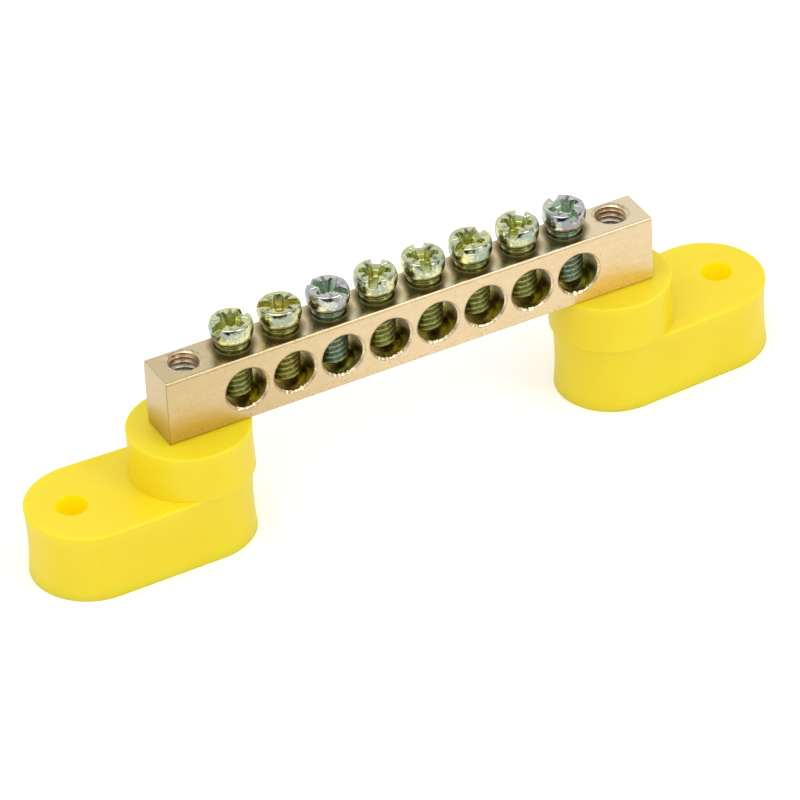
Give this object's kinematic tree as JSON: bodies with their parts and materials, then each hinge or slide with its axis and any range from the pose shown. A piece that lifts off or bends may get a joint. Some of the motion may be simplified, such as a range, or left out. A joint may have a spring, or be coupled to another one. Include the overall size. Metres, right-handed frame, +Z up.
{
  "type": "earth terminal bar",
  "caption": "Brass bar cross-drilled for wires with a row of clamp screws in its top, carried on two yellow angular insulators with foot holes.",
  "frame": {"origin": "middle of the left foot's hole on the mounting surface", "axes": "+X along the bar from the left insulator to the right one, +Y from the bar's front to its back, +Z up from the mounting surface to the screw heads"},
  "size_m": [0.1362, 0.023, 0.0378],
  "materials": {
    "brass": "drawn, lightly brushed",
    "zinc_yellow_passivated": "zinc plated with a yellow-green iridescent passivation, glossy",
    "zinc_plated": "zinc plated",
    "yellow_plastic": "satin, slightly translucent polyethylene-like plastic"
  },
  "bodies": {
    "bar_on_insulators": {"busbar": "brass", "left_insulator": "yellow_plastic", "right_insulator": "yellow_plastic", "left_fixing_screw": "zinc_plated", "right_fixing_screw": "zinc_plated"},
    "clamp_screw_1": {"clamp_screw_1": "zinc_yellow_passivated"},
    "clamp_screw_2": {"clamp_screw_2": "zinc_yellow_passivated"},
    "clamp_screw_3": {"clamp_screw_3": "zinc_yellow_passivated"},
    "clamp_screw_4": {"clamp_screw_4": "zinc_yellow_passivated"},
    "clamp_screw_5": {"clamp_screw_5": "zinc_yellow_passivated"},
    "clamp_screw_6": {"clamp_screw_6": "zinc_yellow_passivated"},
    "clamp_screw_7": {"clamp_screw_7": "zinc_yellow_passivated"},
    "clamp_screw_8": {"clamp_screw_8": "zinc_yellow_passivated"}
  },
  "joints": [
    {"name": "clamp_1_travel", "type": "slide", "parent": "bar_on_insulators", "child": "clamp_screw_1", "axis": [0, 0, 1], "range_m": [0, 0.0065]},
    {"name": "clamp_2_travel", "type": "slide", "parent": "bar_on_insulators", "child": "clamp_screw_2", "axis": [0, 0, 1], "range_m": [0, 0.0065]},
    {"name": "clamp_3_travel", "type": "slide", "parent": "bar_on_insulators", "child": "clamp_screw_3", "axis": [0, 0, 1], "range_m": [0, 0.0065]},
    {"name": "clamp_4_travel", "type": "slide", "parent": "bar_on_insulators", "child": "clamp_screw_4", "axis": [0, 0, 1], "range_m": [0, 0.0065]},
    {"name": "clamp_5_travel", "type": "slide", "parent": "bar_on_insulators", "child": "clamp_screw_5", "axis": [0, 0, 1], "range_m": [0, 0.0065]},
    {"name": "clamp_6_travel", "type": "slide", "parent": "bar_on_insulators", "child": "clamp_screw_6", "axis": [0, 0, 1], "range_m": [0, 0.0065]},
    {"name": "clamp_7_travel", "type": "slide", "parent": "bar_on_insulators", "child": "clamp_screw_7", "axis": [0, 0, 1], "range_m": [0, 0.0065]},
    {"name": "clamp_8_travel", "type": "slide", "parent": "bar_on_insulators", "child": "clamp_screw_8", "axis": [0, 0, 1], "range_m": [0, 0.0065]}
  ]
}
